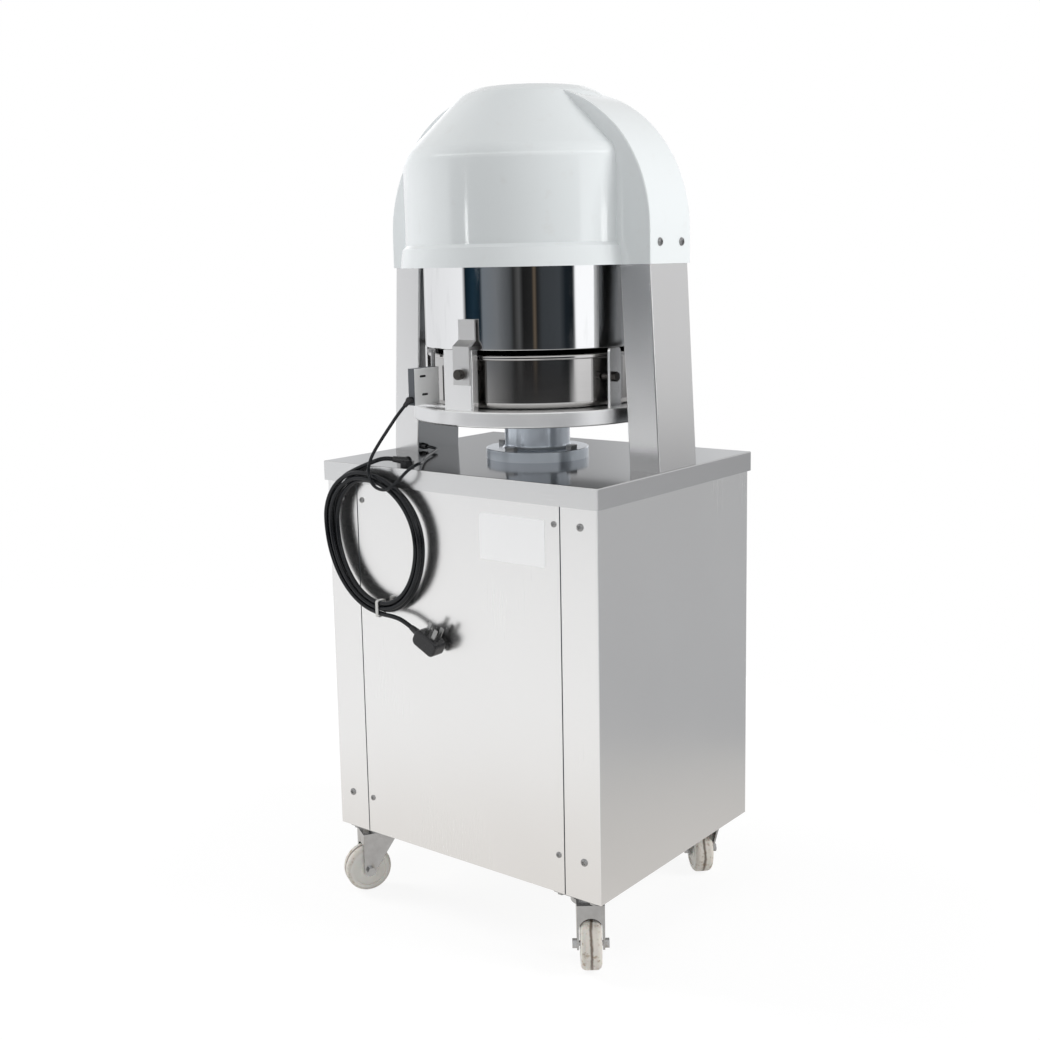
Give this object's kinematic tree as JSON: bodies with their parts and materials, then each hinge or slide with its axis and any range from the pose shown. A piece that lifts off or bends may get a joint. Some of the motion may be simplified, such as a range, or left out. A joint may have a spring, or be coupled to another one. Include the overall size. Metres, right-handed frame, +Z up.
{
  "type": "dough divider",
  "caption": "Floor-standing hydraulic dough divider on swivel casters: steel cabinet, round pan on a pedestal, lifting guard drum, knife press and arched white hood, seen from behind.",
  "frame": {"origin": "on the floor, on the axis of the press, pan and pedestal", "axes": "+Z up along the press axis; the operator stands at -Y, the pictured rear panel faces +Y; +X is the operator's right"},
  "size_m": [0.528, 0.4691, 1.275],
  "materials": {
    "stainless": "brushed",
    "polished_steel": "polished",
    "sheet_steel": "satin",
    "frame_paint": "satin",
    "pedestal_grey": "satin",
    "machined_steel": "machined",
    "fastener": "satin",
    "hood_white": "gloss",
    "switch_grey": "matte",
    "green_button": "gloss",
    "red_button": "gloss",
    "black_plastic": "matte",
    "black_rubber": "matte",
    "white_tie": "matte",
    "zinc": "zinc plated",
    "wheel_nylon": "matte"
  },
  "bodies": {
    "frame": {"base_frame": "frame_paint", "bed_plate": "frame_paint", "bottom_plate": "sheet_steel", "button_bezels": "black_plastic", "cable_glands": "black_plastic", "caster_bolts": "fastener", "caster_plates": "zinc", "clamp_screws": "fastener", "coil_tie": "white_tie", "cylinder_barrel": "machined_steel", "dough_pan": "polished_steel", "electrical_box": "frame_paint", "frame_bolts": "fastener", "front_panel": "stainless", "guard_rods": "machined_steel", "guide_finger": "sheet_steel", "hood": "hood_white", "hood_screws": "fastener", "limit_switch": "switch_grey", "motor": "machined_steel", "oil_hoses": "black_rubber", "oil_tank": "frame_paint", "pan_clamps": "sheet_steel", "panel_screws": "fastener", "pedestal": "pedestal_grey", "plug_body": "black_plastic", "plug_pins": "fastener", "power_cord_coil": "black_rubber", "power_cord_lead": "black_rubber", "power_cord_tail": "black_rubber", "press_frame": "frame_paint", "rear_panel": "stainless", "side_panel_left": "stainless", "side_panel_right": "stainless", "switch_bracket": "sheet_steel", "switch_lead": "black_rubber", "table_top": "stainless", "upright_left": "stainless", "upright_right": "stainless", "valve_block": "machined_steel", "work_disc": "polished_steel"},
    "guard": {"guard_drum": "polished_steel"},
    "ram": {"piston_rod": "machined_steel", "knife_carrier": "machined_steel", "knife_grid": "polished_steel", "plate_springs": "fastener"},
    "presser": {"press_plate": "polished_steel"},
    "plunger": {"switch_plunger": "fastener"},
    "start_left": {"start_button_left": "green_button"},
    "start_right": {"start_button_right": "green_button"},
    "stop": {"stop_button": "red_button"},
    "main": {"main_switch": "black_plastic"},
    "fork_rear_left": {"caster_fork_rear_left": "zinc"},
    "wheel_rear_left": {"caster_wheel_rear_left": "wheel_nylon"},
    "fork_rear_right": {"caster_fork_rear_right": "zinc"},
    "wheel_rear_right": {"caster_wheel_rear_right": "wheel_nylon"},
    "fork_front_left": {"caster_fork_front_left": "zinc"},
    "wheel_front_left": {"caster_wheel_front_left": "wheel_nylon"},
    "fork_front_right": {"caster_fork_front_right": "zinc"},
    "wheel_front_right": {"caster_wheel_front_right": "wheel_nylon"}
  },
  "joints": [
    {"name": "guard_lift", "type": "slide", "parent": "frame", "child": "guard", "axis": [0, 0, 1], "range_m": [0, 0.09]},
    {"name": "press_stroke", "type": "slide", "parent": "frame", "child": "ram", "axis": [0, 0, 1], "range_m": [-0.113, 0]},
    {"name": "press_plate_slide", "type": "slide", "parent": "ram", "child": "presser", "axis": [0, 0, 1], "range_m": [0, 0.04], "stiffness_N_per_m": 8000, "springref_m": -0.02, "deforming": ["plate_springs"]},
    {"name": "switch_plunger_press", "type": "slide", "parent": "frame", "child": "plunger", "axis": [0, 0, 1], "range_m": [-0.003, 0], "stiffness_N_per_m": 800, "springref_m": 0.002},
    {"name": "start_left_press", "type": "slide", "parent": "frame", "child": "start_left", "axis": [0, 1, 0], "range_m": [0, 0.004], "stiffness_N_per_m": 900, "springref_m": -0.002},
    {"name": "start_right_press", "type": "slide", "parent": "frame", "child": "start_right", "axis": [0, 1, 0], "range_m": [0, 0.004], "stiffness_N_per_m": 900, "springref_m": -0.002},
    {"name": "stop_press", "type": "slide", "parent": "frame", "child": "stop", "axis": [0, 1, 0], "range_m": [0, 0.005], "stiffness_N_per_m": 1200, "springref_m": -0.002},
    {"name": "main_switch_turn", "type": "hinge", "parent": "frame", "child": "main", "pos_m": [-0.22845, -0.0513, 0.832], "axis": [0, 1, 0], "range_deg": [0, 90]},
    {"name": "swivel_rear_left", "type": "hinge", "parent": "frame", "child": "fork_rear_left", "pos_m": [-0.208, 0.165, 0.1], "axis": [0, 0, 1], "continuous": true},
    {"name": "spin_rear_left", "type": "hinge", "parent": "fork_rear_left", "child": "wheel_rear_left", "pos_m": [-0.22635, 0.18874, 0.0375], "axis": [0.7912, 0.6115, 0], "continuous": true},
    {"name": "swivel_rear_right", "type": "hinge", "parent": "frame", "child": "fork_rear_right", "pos_m": [0.208, 0.165, 0.1], "axis": [0, 0, 1], "continuous": true},
    {"name": "spin_rear_right", "type": "hinge", "parent": "fork_rear_right", "child": "wheel_rear_right", "pos_m": [0.22318, 0.19087, 0.0375], "axis": [0.8625, -0.506, 0], "continuous": true},
    {"name": "swivel_front_left", "type": "hinge", "parent": "frame", "child": "fork_front_left", "pos_m": [-0.208, -0.165, 0.1], "axis": [0, 0, 1], "continuous": true},
    {"name": "spin_front_left", "type": "hinge", "parent": "fork_front_left", "child": "wheel_front_left", "pos_m": [-0.18679, -0.18621, 0.0375], "axis": [-0.7071, -0.7071, 0], "continuous": true},
    {"name": "swivel_front_right", "type": "hinge", "parent": "frame", "child": "fork_front_right", "pos_m": [0.208, -0.165, 0.1], "axis": [0, 0, 1], "continuous": true},
    {"name": "spin_front_right", "type": "hinge", "parent": "fork_front_right", "child": "wheel_front_right", "pos_m": [0.22318, -0.19087, 0.0375], "axis": [-0.8625, -0.506, 0], "continuous": true}
  ]
}
